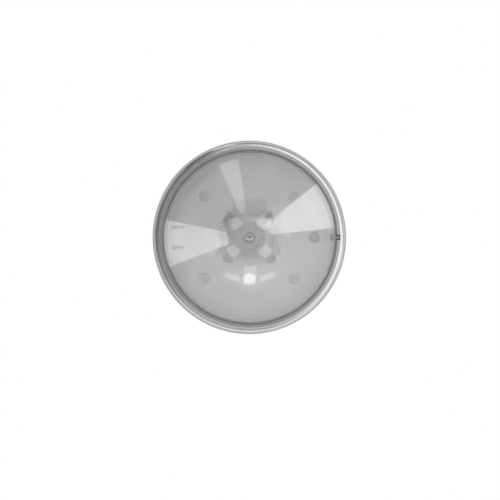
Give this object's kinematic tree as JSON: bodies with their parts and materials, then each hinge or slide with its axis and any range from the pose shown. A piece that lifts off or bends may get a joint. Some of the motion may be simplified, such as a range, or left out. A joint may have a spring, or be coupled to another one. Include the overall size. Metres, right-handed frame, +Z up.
{
  "type": "presence detector",
  "caption": "Round ceiling presence detector: grey conical lens over tilted heat sensors, glossy flange ring, bayonet ceiling ring and plug-in bus terminal.",
  "frame": {"origin": "centre of the flat face that lies on the ceiling, on the lens axis", "axes": "+Z up into the ceiling, along the lens axis; the lens hangs towards -Z; the two posts stand on the X axis and the key of the cover ring is at +X"},
  "size_m": [0.11, 0.11, 0.0572],
  "materials": {
    "housing_plastic": "fine matt, light grey",
    "ring_plastic": "glossy grey",
    "lens_plastic": "satin, grey translucent",
    "cover_plastic": "matt grey",
    "skirt_plastic": "glossy dark grey lacquer",
    "carrier_plastic": "matt grey",
    "shade_plastic": "matt grey",
    "cap_black": "matt black",
    "smoke_plastic": "smoked, polished",
    "key_plastic": "matt light grey",
    "board_laminate": "green solder mask",
    "chip_body": "moulded black",
    "chip_ceramic": "fired ceramic",
    "can_metal": "drawn and nickel plated",
    "can_aluminium": "bright",
    "ferrite": "sintered",
    "filter_pale": "polished",
    "diffuser_white": "white, light scattering",
    "led_body": "frosted",
    "pin_metal": "tinned",
    "clamp_metal": "rolled",
    "screw_steel": "black zinc plated",
    "terminal_black": "fine matt",
    "terminal_red": "fine matt"
  },
  "bodies": {
    "ceiling_mount": {"mounting_ring": "skirt_plastic"},
    "cover": {"cover_ring": "ring_plastic", "lens": "lens_plastic"},
    "bus_terminal": {"terminal_black": "terminal_black", "terminal_red": "terminal_red", "clamp_black": "clamp_metal", "clamp_red": "clamp_metal"},
    "key": {"programming_key": "key_plastic", "switch_plunger": "chip_body"},
    "head": {"base_housing": "housing_plastic", "inner_cover": "cover_plastic", "cover_latch": "cap_black", "cover_screws": "screw_steel", "main_board": "board_laminate", "microcontroller": "chip_body", "bus_transceiver": "chip_body", "memory_chip": "chip_body", "crystal": "can_metal", "storage_inductor": "ferrite", "buffer_capacitors": "can_aluminium", "chip_parts": "chip_ceramic", "pin_header": "chip_body", "bus_pins": "pin_metal", "key_switch": "chip_body", "programming_led": "led_body", "status_led": "led_body", "status_window": "smoke_plastic", "indicator_led": "led_body", "indicator_diffuser": "diffuser_white", "indicator_reflector": "diffuser_white", "sensor_carrier": "carrier_plastic", "carrier_caps": "cap_black", "carrier_shade": "shade_plastic", "pir_sensor_1": "can_metal", "pir_sensor_2": "can_metal", "pir_sensor_3": "can_metal", "pir_sensor_4": "can_metal", "sensor_windows": "filter_pale", "sensor_board": "board_laminate", "sensor_leads": "pin_metal", "light_sensor": "chip_body", "light_guide": "diffuser_white", "link_header": "chip_body", "link_pins": "pin_metal"}
  },
  "joints": [
    {"name": "head_twist", "type": "hinge", "parent": "ceiling_mount", "child": "head", "pos_m": [0, 0, 0], "axis": [0, 0, -1], "range_deg": [0, 20]},
    {"name": "cover_pull", "type": "slide", "parent": "head", "child": "cover", "axis": [0, 0, -1], "range_m": [0, 0.012]},
    {"name": "terminal_pull", "type": "slide", "parent": "head", "child": "bus_terminal", "axis": [0, 0, 1], "range_m": [0, 0.008]},
    {"name": "key_press", "type": "slide", "parent": "head", "child": "key", "axis": [0, 0, 1], "range_m": [0, 0.0006], "stiffness_N_per_m": 1500, "springref_m": -0.0003}
  ]
}
